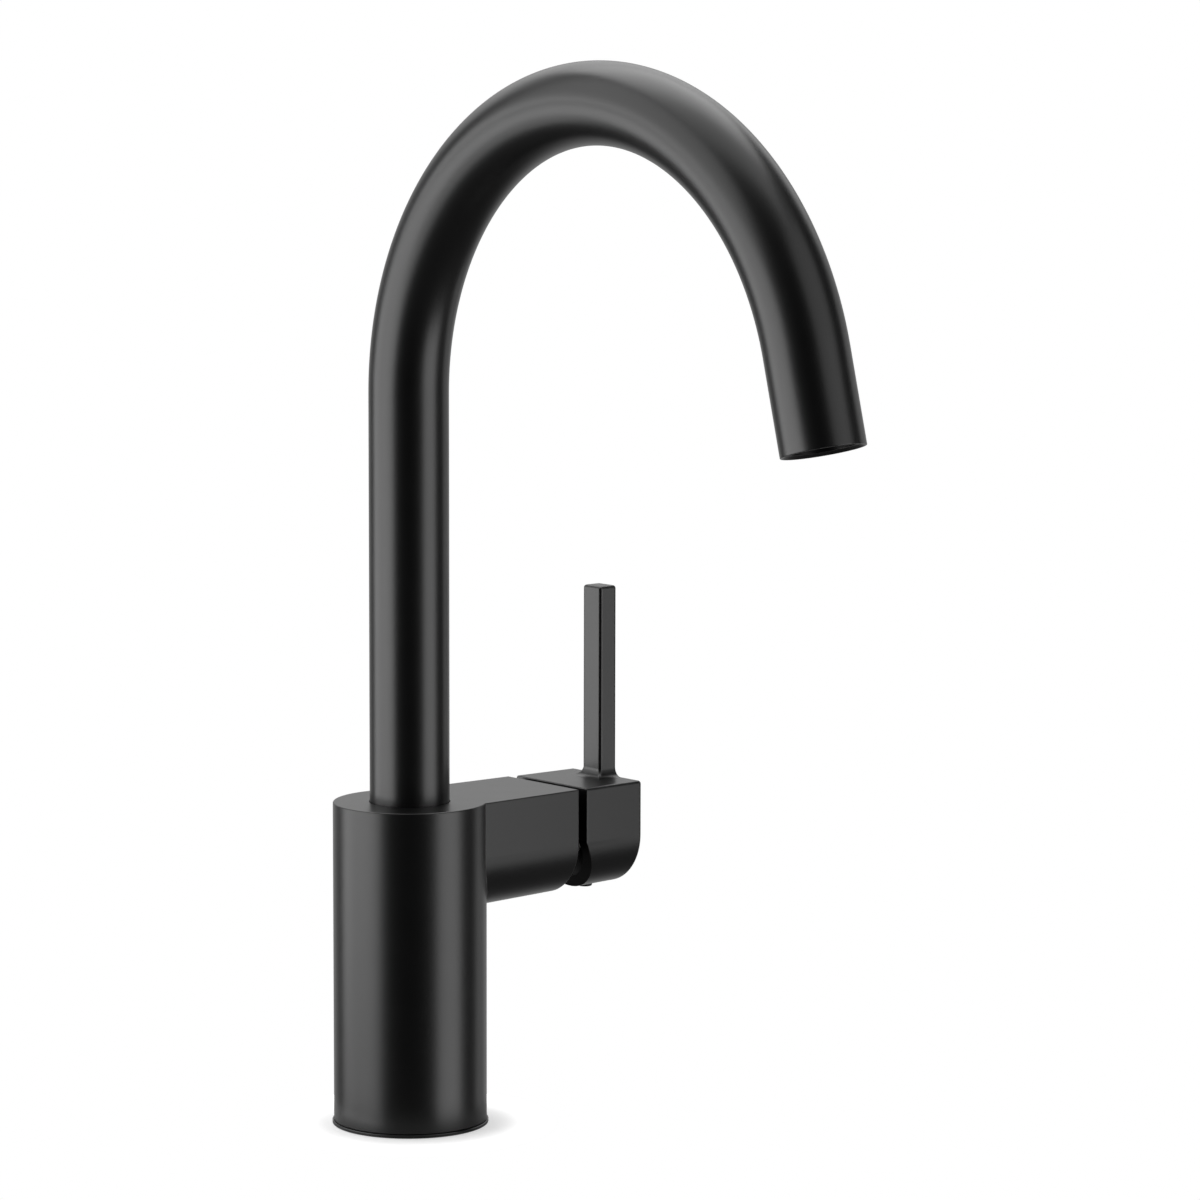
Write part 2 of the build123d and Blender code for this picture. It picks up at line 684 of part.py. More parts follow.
# Ring nut that clamps the cartridge, with two wrench slots
with BuildPart(arm_plane.offset(nut_x)) as cartridge_nut:
    Cylinder(nut_thread_radius - slip_fit, nut_length, align=from_face)
    Hole(nut_inner_radius)
    with BuildSketch(arm_plane.offset(dome_x)):
        Rectangle(nut_slot_width, 2 * nut_thread_radius)
    extrude(amount=-nut_slot_depth, mode=Mode.SUBTRACT)
cartridge_nut.part.label = "cartridge_nut"

# Trim dome over the nut, pushed into its bore by a sleeve
with BuildPart() as trim_dome:
    sleeve_radius = nut_inner_radius - running_fit
    dome_end_x = dome_x + dome_length
    with BuildSketch(side_plane):
        with BuildLine():
            Polyline(
                (dome_end_x, dome_opening_radius + dome_wall),
                (dome_end_x, dome_opening_radius),
                (dome_x, sleeve_radius - dome_wall),
                (dome_x - dome_sleeve_length, sleeve_radius - dome_wall),
                (dome_x - dome_sleeve_length, sleeve_radius),
                (dome_x, sleeve_radius),
                (dome_x, dome_radius),
                (dome_x + dome_skirt_length, dome_radius),
            )
            TangentArc(
                (dome_x + dome_skirt_length, dome_radius),
                (dome_end_x, dome_opening_radius + dome_wall),
                tangent=(1, 0),
            )
        make_face()
    revolve(axis=arm_axis)
trim_dome.part.label = "trim_dome"

# Handle: hub block and upright lever, with the pocket that hides the dome and the socket for the stem
with BuildPart() as lever_handle:
    add_arm_block(hub_x, hub_end_x)
    relief_height = 2 * arm_half_width(hub_x)
    relief_reach = relief_height * math.tan(math.radians(hub_relief_angle))
    with BuildSketch(side_plane):
        with BuildLine():
            Polyline((hub_x, 0), (hub_x + relief_reach, -relief_height), (hub_x, -relief_height), close=True)
        make_face()
    extrude(amount=arm_width, both=True, mode=Mode.SUBTRACT)
    with BuildSketch(Plane.XY.offset(axis_z)):
        with Locations((hub_end_x - lever_thickness / 2, 0)):
            Rectangle(lever_thickness, lever_width)
    extrude(amount=arm_axis_drop + lever_height)
    root_edges = lever_handle.faces().filter_by(Plane.XY).group_by(Axis.Z)[-2].edges()
    root_reach = lever_width / 2 + lever_edge_radius
    root_edges = root_edges.filter_by_position(Axis.Y, -root_reach, root_reach).sort_by(Axis.X)[1:]
    fillet(root_edges, lever_root_radius)
    end_edges = lever_handle.faces().filter_by(Axis.X).sort_by(Axis.X)[-1].edges()
    fillet(end_edges.filter_by_position(Axis.Z, 0, body_height, (True, False)), hub_corner_radius)
    fillet(lever_handle.edges().filter_by(Axis.Z).group_by(Edge.length)[-1], lever_edge_radius)
    fillet(lever_handle.faces().sort_by(Axis.Z)[-1].edges(), lever_edge_radius)
    inner_face = lever_handle.faces().filter_by(Axis.X).sort_by(Axis.X)[0]
    fillet(inner_face.edges().sort_by(Axis.Z)[1:], hub_edge_radius)
    with BuildSketch(arm_plane.offset(hub_x)):
        Circle(hub_pocket_radius)
    extrude(amount=hub_pocket_depth, mode=Mode.SUBTRACT)
    with BuildSketch(arm_plane.offset(hub_pocket_x)):
        Circle(hub_socket_radius)
    extrude(amount=hub_socket_depth, mode=Mode.SUBTRACT)
    screw_plane = Plane(origin=(set_screw_x, 0, axis_z), z_dir=(0, 0, -1))
    screw_floor = arm_half_width(set_screw_x)
    with BuildSketch(screw_plane):
        Circle(set_screw_radius)
    extrude(amount=arm_width, mode=Mode.SUBTRACT)
    with BuildSketch(screw_plane.offset(screw_floor - plug_seat_depth)):
        Circle(plug_head_radius + running_fit)
    extrude(amount=plug_head_radius, mode=Mode.SUBTRACT)
lever_handle.part.label = "lever_handle"

# Plastic bush between the stem's square end and the hub's socket
with BuildPart(arm_plane.offset(hub_pocket_x)) as stem_bush:
    Cylinder(hub_socket_radius - slip_fit, hub_socket_depth - bush_end_gap, align=from_face)
    with BuildSketch(arm_plane.offset(hub_pocket_x)):
        Rectangle(stem_side + 2 * slip_fit, stem_side + 2 * slip_fit)
    extrude(amount=hub_socket_depth, mode=Mode.SUBTRACT)
    with BuildSketch(screw_plane):
        Circle(set_screw_radius + running_fit)
    extrude(amount=hub_socket_radius, mode=Mode.SUBTRACT)
stem_bush.part.label = "stem_bush"

# Set screw through the bush onto the stem, with a hexagon socket below
with BuildPart() as handle_screw:
    with BuildSketch(screw_plane.offset(stem_side / 2)):
        Circle(set_screw_radius - slip_fit)
    extrude(amount=screw_floor - set_screw_recess - stem_side / 2)
    with BuildSketch(screw_plane.offset(screw_floor - set_screw_recess)):
        RegularPolygon(set_screw_hex_radius, 6)
    extrude(amount=-set_screw_hex_depth, mode=Mode.SUBTRACT)
handle_screw.part.label = "handle_screw"

# Plug that hides the screw, with a round head just proud of the hub
with BuildPart() as screw_plug:
    with BuildSketch(screw_plane.offset(screw_floor - plug_seat_depth)):
        Circle(plug_head_radius)
    extrude(amount=plug_head_height)
    fillet(screw_plug.edges().sort_by(Axis.Z)[0], plug_head_height / 2)
    with BuildSketch(screw_plane.offset(screw_floor - plug_seat_depth)):
        Circle(set_screw_radius - slip_fit)
    extrude(amount=-plug_shank_length)
screw_plug.part.label = "screw_plug"

# Sleeve brazed into the spout's end, with a lip that the aerator's washer seals on
aerator_face = -outlet_recess - aerator_recess
aerator_back = aerator_face - aerator_length
washer_back = aerator_back - washer_thickness
sleeve_bore_radius = tube_inner_radius - slip_fit - sleeve_wall
with BuildPart(outlet_plane.offset(-outlet_recess - sleeve_length)) as outlet_sleeve:
    Cylinder(tube_inner_radius - slip_fit, sleeve_length, align=from_face)
    Hole(sleeve_bore_radius - washer_width / 2)
    with BuildSketch(outlet_plane.offset(washer_back)):
        Circle(sleeve_bore_radius)
    extrude(amount=-washer_back, mode=Mode.SUBTRACT)
outlet_sleeve.part.label = "outlet_sleeve"

# Aerator housing: a cup with a honeycomb floor and notches for its key
aerator_radius = sleeve_bore_radius - slip_fit
aerator_inner_radius = aerator_radius - aerator_wall
honeycomb_limit = aerator_radius - honeycomb_ring_width - honeycomb_hole_radius
with BuildPart(outlet_plane.offset(aerator_back)) as aerator_housing:
    Cylinder(aerator_radius, aerator_length, align=from_face)
    Cylinder(aerator_inner_radius, aerator_length - honeycomb_thickness, align=from_face, mode=Mode.SUBTRACT)
    with BuildSketch(outlet_plane.offset(aerator_face)):
        with Locations(*hex_points(honeycomb_pitch, honeycomb_limit)):
            Circle(honeycomb_hole_radius)
    extrude(amount=-honeycomb_thickness, mode=Mode.SUBTRACT)
    with BuildSketch(outlet_plane.offset(aerator_face)):
        with PolarLocations(aerator_radius, key_notch_count):
            Rectangle(aerator_wall, key_notch_width)
    extrude(amount=-key_notch_depth, mode=Mode.SUBTRACT)
aerator_housing.part.label = "aerator_housing"

screen_back = aerator_face - honeycomb_thickness - screen_thickness
with BuildPart(outlet_plane.offset(screen_back)) as aerator_screen:
    Cylinder(aerator_inner_radius - slip_fit, screen_thickness, align=from_face)
    with BuildSketch(outlet_plane.offset(screen_back)):
        with Locations(*hex_points(screen_hole_pitch, aerator_inner_radius - screen_hole_pitch)):
            Circle(screen_hole_radius)
    extrude(amount=screen_thickness, mode=Mode.SUBTRACT)
aerator_screen.part.label = "aerator_screen"

# Flow regulator: a holed disc that rests on the screen
with BuildPart(outlet_plane.offset(screen_back - regulator_thickness)) as flow_regulator:
    Cylinder(aerator_inner_radius - slip_fit, regulator_thickness, align=from_face)
    with PolarLocations(regulator_hole_pitch_radius, regulator_hole_count):
        Hole(regulator_hole_radius)
flow_regulator.part.label = "flow_regulator"

with BuildPart(outlet_plane.offset(washer_back)) as aerator_washer:
    Cylinder(aerator_radius, washer_thickness, align=from_face)
    Hole(aerator_radius - washer_width)
aerator_washer.part.label = "aerator_washer"

pieces = [
    base_ring, base_gasket, body_shell, valve_core, core_retainer, spout_bearing, glide_washer,
    spout_tube, spout_spigot, spigot_seals, snap_ring, outlet_sleeve, aerator_housing, aerator_screen,
    flow_regulator, aerator_washer, cartridge_adapter, adapter_seals, cartridge_base, cartridge_seals,
    cartridge_housing, fixed_disc, cartridge_nut, trim_dome, moving_disc, disc_carrier, stem_guide,
    stem_pin, stem, lever_handle, stem_bush, handle_screw, screw_plug,
]
os.makedirs("parts", exist_ok=True)
for piece in pieces:
    export_step(piece.part, "parts/" + piece.part.label + ".step")
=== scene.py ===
import json
import math

import bpy
import numpy as np
from mathutils import Euler, Matrix, Vector


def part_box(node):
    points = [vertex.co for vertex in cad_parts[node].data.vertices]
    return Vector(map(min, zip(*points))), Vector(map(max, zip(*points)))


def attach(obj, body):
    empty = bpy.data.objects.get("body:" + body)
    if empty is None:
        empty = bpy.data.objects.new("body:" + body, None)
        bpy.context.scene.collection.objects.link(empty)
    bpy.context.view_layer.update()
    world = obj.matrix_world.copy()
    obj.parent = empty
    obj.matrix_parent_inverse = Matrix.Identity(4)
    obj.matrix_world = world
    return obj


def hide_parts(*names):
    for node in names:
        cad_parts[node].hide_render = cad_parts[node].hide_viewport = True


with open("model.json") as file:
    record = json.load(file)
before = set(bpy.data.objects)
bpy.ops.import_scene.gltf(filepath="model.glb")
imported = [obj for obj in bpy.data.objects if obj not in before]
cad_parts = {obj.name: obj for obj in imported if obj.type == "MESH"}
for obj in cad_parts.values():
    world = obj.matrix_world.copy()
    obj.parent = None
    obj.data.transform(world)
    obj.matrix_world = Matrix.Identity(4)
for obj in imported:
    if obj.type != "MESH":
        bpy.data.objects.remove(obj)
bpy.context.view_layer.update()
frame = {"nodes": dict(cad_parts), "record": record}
nodes = frame["nodes"]

waveLength = 0.314    # Blender's wave texture repeats at about this step when its scale is 1


class Sock:
    # a node's output, on which plain arithmetic adds Math nodes
    def __init__(self, finish, socket):
        self.finish = finish
        self.socket = socket

    def math(self, operation, first, second):
        return self.finish.node("ShaderNodeMath", {"operation": operation}, {0: first, 1: second})

    def __add__(self, other):
        return self.math("ADD", self, other)

    __radd__ = __add__

    def __mul__(self, other):
        return self.math("MULTIPLY", self, other)

    __rmul__ = __mul__

    def __sub__(self, other):
        return self.math("SUBTRACT", self, other)

    def __rsub__(self, other):
        return self.math("SUBTRACT", other, self)

    def __pow__(self, other):
        return self.math("POWER", self, other)

    def clamped(self):
        return self.math("MINIMUM", self.math("MAXIMUM", self, 0.0), 1.0)    # kept from 0 to 1


class Finish:
    # one node tree being written: a material's, or the world's
    def __init__(self, owner):
        owner.use_nodes = True
        self.tree = owner.node_tree
        self.tree.nodes.clear()

    def node(self, kind, settings=None, inputs=None, output=0):
        # settings are set first, then each socket gets its value or its link
        made = self.tree.nodes.new(kind)
        for name, value in (settings or {}).items():
            setattr(made, name, value)
        for name, value in (inputs or {}).items():
            if isinstance(value, Sock):
                self.tree.links.new(value.socket, made.inputs[name])
            else:
                made.inputs[name].default_value = value
        return Sock(self, made.outputs[output]) if len(made.outputs) else None

    def place(self):
        return self.node("ShaderNodeTexCoord", output="Object")    # in metres

    def vector(self, operation, first, second=(0.0, 0.0, 0.0), output="Vector"):
        return self.node("ShaderNodeVectorMath", {"operation": operation}, {0: first, 1: second}, output)

    def ramp(self, value, start, end, low=0.0, high=1.0, kind="LINEAR"):
        # goes from low to high while the value goes from start to end, and stays level outside them
        inputs = {"Value": value, "From Min": start, "From Max": end, "To Min": low, "To Max": high}
        return self.node("ShaderNodeMapRange", {"interpolation_type": kind}, inputs)

    def noise(self, size, detail, rough=0.5, where=None):
        # cloudy pattern, 0 to 1, whose blotches are about size metres across
        inputs = {"Vector": where or self.place(), "Scale": 1.0 / size, "Detail": detail, "Roughness": rough}
        return self.node("ShaderNodeTexNoise", {}, inputs)

    def rings(self, axis, pitch, distortion, detail):
        # saw-toothed lathe marks, one each pitch metres along the axis
        settings = {"wave_type": "BANDS", "bands_direction": axis, "wave_profile": "SAW"}
        inputs = {"Vector": self.place(), "Scale": waveLength / pitch, "Distortion": distortion, "Detail": detail}
        return self.node("ShaderNodeTexWave", settings, inputs, "Fac")

    def mixColour(self, share, low, high):
        # a Mix node's colours go in at 6 and 7 and come out at 2
        inputs = {"Factor": share, 6: (*low, 1.0), 7: (*high, 1.0)}
        return self.node("ShaderNodeMix", {"data_type": "RGBA"}, inputs, 2)

    def bump(self, height, depth, strength=1.0, below=None):
        inputs = {"Height": height, "Distance": depth, "Strength": strength}
        if below:
            inputs["Normal"] = below
        return self.node("ShaderNodeBump", {}, inputs)

    def surface(self, **sockets):
        inputs = {name.replace("_", " "): value for name, value in sockets.items()}
        shader = self.node("ShaderNodeBsdfPrincipled", {}, inputs)
        self.node("ShaderNodeOutputMaterial", {}, {"Surface": shader})

    def toEyeAndMirrors(self, mirrored):
        # 1 to the camera, mirrored to reflections and through glass, 0 as a light on other surfaces
        seen = self.node("ShaderNodeLightPath", output="Is Camera Ray")
        glossy = self.node("ShaderNodeLightPath", output="Is Glossy Ray")
        through = self.node("ShaderNodeLightPath", output="Is Transmission Ray")
        return (seen + (glossy + through) * mirrored).clamped()


def newMaterial(name):
    material = bpy.data.materials.new(name)
    return material, Finish(material)


def blend(share, first, second):
    # a share of one pattern and the rest of another
    return first * share + second * (1.0 - share)


# Satin black coat: sprayed, baked and very even, with a grain that only shows close up
satinCoat = {"dark": (0.0019, 0.0019, 0.0020), "light": (0.0031, 0.0031, 0.0032), "mottleShare": 0.6,
             "mottle": {"size": 0.012, "detail": 3.0}, "grain": {"size": 0.00022, "detail": 1.0},
             "peel": {"size": 0.0016, "detail": 1.0}, "grainDepth": 0.000002, "peelDepth": 0.000003,
             "roughness": 0.33, "roughnessSpread": 0.03}


# Painted shade in the handle's recess: the slant face under the gap and the pocket round the dome are made to
# throw back next to no light, standing in for the shade there
paintedRecessShade = {"slant": 25.0, "skin": 0.0001, "pocketGap": 0.0011, "pocketDepth": 0.0087}


def inShadedRecess(f):
    # mask of the painted shade: 1 within a skin of the slant plane through the hub's inner face, or inside the
    # pocket's cylinder; 0 elsewhere
    s = paintedRecessShade
    skin = s["skin"]
    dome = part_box("trim_dome")
    start = (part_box("lever_handle")[0].x, 0.0, (dome[0].z + dome[1].z) / 2)
    where = f.vector("SUBTRACT", f.place(), start)
    slant = math.radians(s["slant"])
    facing = (-math.cos(slant), 0.0, -math.sin(slant))
    onSlant = f.ramp(f.vector("DOT_PRODUCT", where, facing, "Value"), -2 * skin, -skin)
    pocket = (dome[1].y - dome[0].y) / 2 + s["pocketGap"]
    fromAxis = f.vector("LENGTH", f.vector("MULTIPLY", where, (0.0, 1.0, 1.0)), output="Value")
    inside = f.ramp(fromAxis, pocket + skin, pocket + 2 * skin, 1.0, 0.0)
    depth = f.node("ShaderNodeSeparateXYZ", {}, {"Vector": where}, "X")
    shallow = f.ramp(depth, s["pocketDepth"] + skin, s["pocketDepth"] + 2 * skin, 1.0, 0.0)
    return (onSlant + inside * shallow).clamped()


def satinBlack(name, shadeRecess=False):
    material, f = newMaterial(name)
    s = satinCoat
    mottle = f.noise(**s["mottle"])
    grain = f.noise(**s["grain"])
    peel = f.noise(**s["peel"])
    f.surface(Base_Color=f.mixColour(blend(s["mottleShare"], mottle, grain), s["dark"], s["light"]),
              Roughness=s["roughness"] + (mottle + grain - 1.0) * s["roughnessSpread"],
              # painted shade: the recess is fully metallic over the near-black base, so it reflects next to
              # nothing
              Metallic=inShadedRecess(f) if shadeRecess else 0.0,
              Normal=f.bump(peel, s["peelDepth"], below=f.bump(grain, s["grainDepth"])))
    return material


# Turned brass: fine rings round the axis that the piece was turned on, under a light stain
turnedBrass = {"dark": (0.47, 0.31, 0.10), "light": (0.62, 0.43, 0.17), "stainShare": 0.7,
               "rings": {"pitch": 0.00035, "distortion": 0.6, "detail": 2.0},
               "stain": {"size": 0.006, "detail": 4.0}, "relief": {"depth": 0.000006, "strength": 0.5},
               "roughness": 0.3, "ringRough": 0.10, "stainRough": 0.12}


def brass(name, axis):
    material, f = newMaterial(name)
    s = turnedBrass
    rings = f.rings(axis, **s["rings"])
    stain = f.noise(**s["stain"])
    f.surface(Base_Color=f.mixColour(blend(s["stainShare"], stain, rings), s["dark"], s["light"]), Metallic=1.0,
              Roughness=s["roughness"] + rings * s["ringRough"] + stain * s["stainRough"],
              Normal=f.bump(rings, **s["relief"]))
    return material


# Machined steel with a fine brushed streak
machinedSteel = {"dark": (0.33, 0.33, 0.34), "light": (0.50, 0.50, 0.51), "streakShare": 0.6,
                 "stretch": (1.0, 0.08, 1.0), "streak": {"size": 0.00015, "detail": 2.0, "rough": 0.6},
                 "cloud": {"size": 0.004, "detail": 3.0}, "relief": {"depth": 0.000003, "strength": 0.6},
                 "roughness": 0.24, "streakRough": 0.14, "cloudRough": 0.08}


def steel():
    material, f = newMaterial("machinedSteel")
    s = machinedSteel
    stretched = f.node("ShaderNodeMapping", {}, {"Vector": f.place(), "Scale": s["stretch"]})
    streak = f.noise(**s["streak"], where=stretched)
    cloud = f.noise(**s["cloud"])
    f.surface(Base_Color=f.mixColour(blend(s["streakShare"], streak, cloud), s["dark"], s["light"]), Metallic=1.0,
              Roughness=s["roughness"] + streak * s["streakRough"] + cloud * s["cloudRough"],
              Normal=f.bump(streak, **s["relief"]))
    return material


# Moulded plastics: a faint sparked grain and slight flow marks, in two colours
mould = {"flowShare": 0.75, "grain": {"size": 0.00018, "detail": 2.0}, "flow": {"size": 0.005, "detail": 3.0},
         "relief": {"depth": 0.000006, "strength": 0.7}, "grainRough": 0.12, "flowRough": 0.06}
blackMould = {"name": "blackMoulding", "dark": (0.008, 0.008, 0.0085), "light": (0.013, 0.013, 0.014),
              "roughness": 0.46}
whiteMould = {"name": "whiteMoulding", "dark": (0.60, 0.595, 0.57), "light": (0.72, 0.715, 0.69),
              "roughness": 0.42}


def moulding(tone):
    material, f = newMaterial(tone["name"])
    s = mould
    grain = f.noise(**s["grain"])
    flow = f.noise(**s["flow"])
    f.surface(Base_Color=f.mixColour(blend(s["flowShare"], flow, grain), tone["dark"], tone["light"]),
              Roughness=tone["roughness"] + grain * s["grainRough"] + flow * s["flowRough"],
              Normal=f.bump(grain, **s["relief"]))
    return material


# Rubber: dull, with a bloom of pale dust
sealRubber = {"dark": (0.010, 0.010, 0.010), "light": (0.026, 0.026, 0.025), "dustPower": 2.0,
              "dust": {"size": 0.0006, "detail": 4.0, "rough": 0.6}, "skin": {"size": 0.00012, "detail": 2.0},
              "relief": {"depth": 0.000008, "strength": 0.6}, "roughness": 0.62, "dustRough": 0.2}


def rubber():
    material, f = newMaterial("sealRubber")
    s = sealRubber
    dust = f.noise(**s["dust"])
    skin = f.noise(**s["skin"])
    f.surface(Base_Color=f.mixColour(dust ** s["dustPower"], s["dark"], s["light"]),
              Roughness=s["roughness"] + dust * s["dustRough"], Normal=f.bump(skin, **s["relief"]))
    return material


# Lapped ceramic: a net of very fine scratches and a slight clouding
lappedCeramic = {"dark": (0.66, 0.64, 0.59), "light": (0.76, 0.745, 0.70), "cloud": {"size": 0.003, "detail": 3.0},
                 "scratchesPerMetre": 5200.0, "relief": {"depth": 0.000002, "strength": 0.5},
                 "roughness": 0.16, "scratchRough": 0.25, "cloudRough": 0.08}


def ceramic():
    material, f = newMaterial("lappedCeramic")
    s = lappedCeramic
    cloud = f.noise(**s["cloud"])
    scratches = f.node("ShaderNodeTexVoronoi", {"feature": "DISTANCE_TO_EDGE"},
                       {"Vector": f.place(), "Scale": s["scratchesPerMetre"]})
    f.surface(Base_Color=f.mixColour(cloud, s["dark"], s["light"]),
              Roughness=s["roughness"] + scratches * s["scratchRough"] + cloud * s["cloudRough"],
              Normal=f.bump(scratches, **s["relief"]))
    return material


# Polished black: the trim dome in the handle's pocket, with faint lathe marks round the arm's axis; its low
# specular level is painted shade standing in for the pocket's shadow
polishedBlack = {"dark": (0.0012, 0.0012, 0.0012), "light": (0.0022, 0.0022, 0.0023), "shadeDimmedSpecular": 0.1,
                 "rings": {"pitch": 0.0004, "distortion": 0.4, "detail": 1.0},
                 "haze": {"size": 0.003, "detail": 3.0}, "relief": {"depth": 0.000001, "strength": 0.5},
                 "roughness": 0.12, "hazeRough": 0.05, "ringRough": 0.02}


def polishedDome():
    material, f = newMaterial("polishedBlackCoat")
    s = polishedBlack
    rings = f.rings("X", **s["rings"])
    haze = f.noise(**s["haze"])
    # painted shade: the low specular level dims the dome's reflections, as if it were shadowed in the pocket
    f.surface(Base_Color=f.mixColour(haze, s["dark"], s["light"]), Specular_IOR_Level=s["shadeDimmedSpecular"],
              Roughness=s["roughness"] + haze * s["hazeRough"] + rings * s["ringRough"],
              Normal=f.bump(rings, **s["relief"]))
    return material


coat = satinBlack("satinBlackCoat")
finishes = {
    "black_coat": coat,
    "black_plastic": moulding(blackMould),
    "white_plastic": moulding(whiteMould),
    "rubber": rubber(),
    "ceramic": ceramic(),
    "steel": steel(),
    "brass": brass("turnedBrassUpright", "Z"),
}
brassAlongArm = brass("turnedBrassAlongArm", "X")
# pieces with a finish of their own instead of their slot's; the handle's one carries painted shade in its recess
special = {"trim_dome": polishedDome(), "lever_handle": satinBlack("shadePaintedSatinHandle", True),
           "cartridge_adapter": brassAlongArm, "cartridge_nut": brassAlongArm}
slotOf = {sub["node"]: sub["material_slot"] for sub in frame["record"]["subparts"]}
for name, piece in nodes.items():
    for slot in piece.material_slots:
        slot.material = special.get(name, finishes[slotOf[name]])
print("finishes:", len(bpy.data.materials), "materials on", len(nodes), "pieces")


def gridMesh(name, points, material, closed=True):
    # rows of points joined into quads: each row is a ring, and where closed the last row joins the first
    rows, columns = points.shape[:2]
    number = np.arange(rows * columns).reshape(rows, columns)
    number = np.hstack([number, number[:, :1]])
    if closed:
        number = np.vstack([number, number[:1]])
    quads = np.stack([number[:-1, :-1], number[1:, :-1], number[1:, 1:], number[:-1, 1:]], -1).reshape(-1, 4)
    mesh = bpy.data.meshes.new(name)
    mesh.from_pydata(points.reshape(-1, 3).tolist(), [], quads.tolist())
    mesh.polygons.foreach_set("use_smooth", np.ones(len(quads), bool))
    mesh.materials.append(material)
    piece = bpy.data.objects.new(name, mesh)
    bpy.context.scene.collection.objects.link(piece)
    return piece


# Spout tube: riser, arch and leaning drop, open at both ends, with a rounded lip and a chamfer at the outlet.
# Rows stand close to each crease, by the crease's own length and by the chamfer's shares, to keep it crisp
spout = {"radius": 0.0143, "wall": 0.0015, "archRadius": 0.1046, "archStart": 0.2635, "archTurn": 165.3,
         "drop": 0.0327, "lip": 0.00025, "land": 0.0002, "chamfer": 0.00105, "crease": 0.00002,
         "chamferRows": (0.0, 0.02, 0.5, 0.98, 1.0), "lipRows": 7, "riserRows": 24, "archRows": 150, "dropRows": 8,
         "around": 144}


def spoutLengths():
    # lengths of the tube's riser and of its arch
    return spout["archStart"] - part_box("spout_tube")[0].z, spout["archRadius"] * math.radians(spout["archTurn"])


def spoutPath(along):
    # a length along the tube gives its centre and outward direction: straight up, round the arch, straight down
    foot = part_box("spout_tube")[0].z
    riser, arch = spoutLengths()
    turn = np.clip((along - riser) / spout["archRadius"], 0.0, math.radians(spout["archTurn"]))
    straightUp = np.minimum(along, riser)
    pastArch = np.maximum(along - riser - arch, 0.0)
    y = spout["archRadius"] * (np.cos(turn) - 1.0) - np.sin(turn) * pastArch
    z = foot + straightUp + spout["archRadius"] * np.sin(turn) + np.cos(turn) * pastArch
    centre = np.stack([np.zeros_like(y), y, z], -1)
    outward = np.stack([np.zeros_like(y), np.cos(turn), np.sin(turn)], -1)
    return centre, outward


def makeSpoutTube():
    # a loop of (length, radius) pairs runs up the outside, over the rounded lip, down a chamfer and back inside,
    # and is carried round the centre line: centre + radius (cos a, outward; sin a, across)
    riser, arch = spoutLengths()
    end = riser + arch + spout["drop"]
    lip, crease, chamfer = spout["lip"], spout["crease"], spout["chamfer"]
    inner = spout["radius"] - spout["wall"]
    chamferEdge = spout["radius"] - lip - spout["land"]
    bend = np.linspace(0.0, math.pi / 2, spout["lipRows"])
    slope = np.array(spout["chamferRows"])
    outside = np.concatenate([np.linspace(0.0, riser, spout["riserRows"], endpoint=False),
                              np.linspace(riser, riser + arch, spout["archRows"], endpoint=False),
                              np.linspace(riser + arch, end - lip - crease, spout["dropRows"])])
    inside = np.append(outside[outside < end - 2 * chamfer], end - chamfer - crease)[::-1]
    length = np.concatenate([outside, end - lip + lip * np.sin(bend), [end], end - slope * chamfer, inside])
    radius = np.concatenate([np.full(len(outside), spout["radius"]),
                             spout["radius"] - lip + lip * np.cos(bend),
                             [chamferEdge + crease],
                             chamferEdge + (inner - chamferEdge) * slope,
                             np.full(len(inside), inner)])
    centre, outward = spoutPath(length)
    angle = np.linspace(0.0, 2 * math.pi, spout["around"], endpoint=False)
    across = np.array([1.0, 0.0, 0.0])
    ring = np.cos(angle)[None, :, None] * outward[:, None, :] + np.sin(angle)[None, :, None] * across
    return gridMesh("spoutTube", centre[:, None, :] + radius[:, None, None] * ring, coat)


spoutTube = makeSpoutTube()
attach(spoutTube, "spout")
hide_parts("spout_tube")
print("spout tube:", len(spoutTube.data.polygons), "faces")

# Camera: the photograph's own place and lens, found from the outlines of the body, tube and lever
lens = {"place": (-1.10242, -1.37971, 0.41241), "yaw": 40.832, "down": 7.192, "roll": 0.13, "focal": 149.74,
        "sensor": 36.0, "clipEnd": 60.0}


def makeCamera():
    # looks level along +Y, is tipped down, turned to its right by the yaw, and rolled about its line of sight
    data = bpy.data.cameras.new("photoCamera")
    data.lens = lens["focal"]
    data.sensor_width = lens["sensor"]
    data.clip_end = lens["clipEnd"]
    camera = bpy.data.objects.new("photoCamera", data)
    bpy.context.scene.collection.objects.link(camera)
    camera.location = lens["place"]
    level = Euler((math.radians(90.0 - lens["down"]), 0.0, math.radians(-lens["yaw"]))).to_matrix()
    camera.rotation_euler = (level @ Matrix.Rotation(math.radians(lens["roll"]), 3, "Z")).to_euler()
    bpy.context.scene.camera = camera


makeCamera()
bpy.context.scene.view_settings.view_transform = "Standard"
print("camera:", lens["focal"], "mm lens")

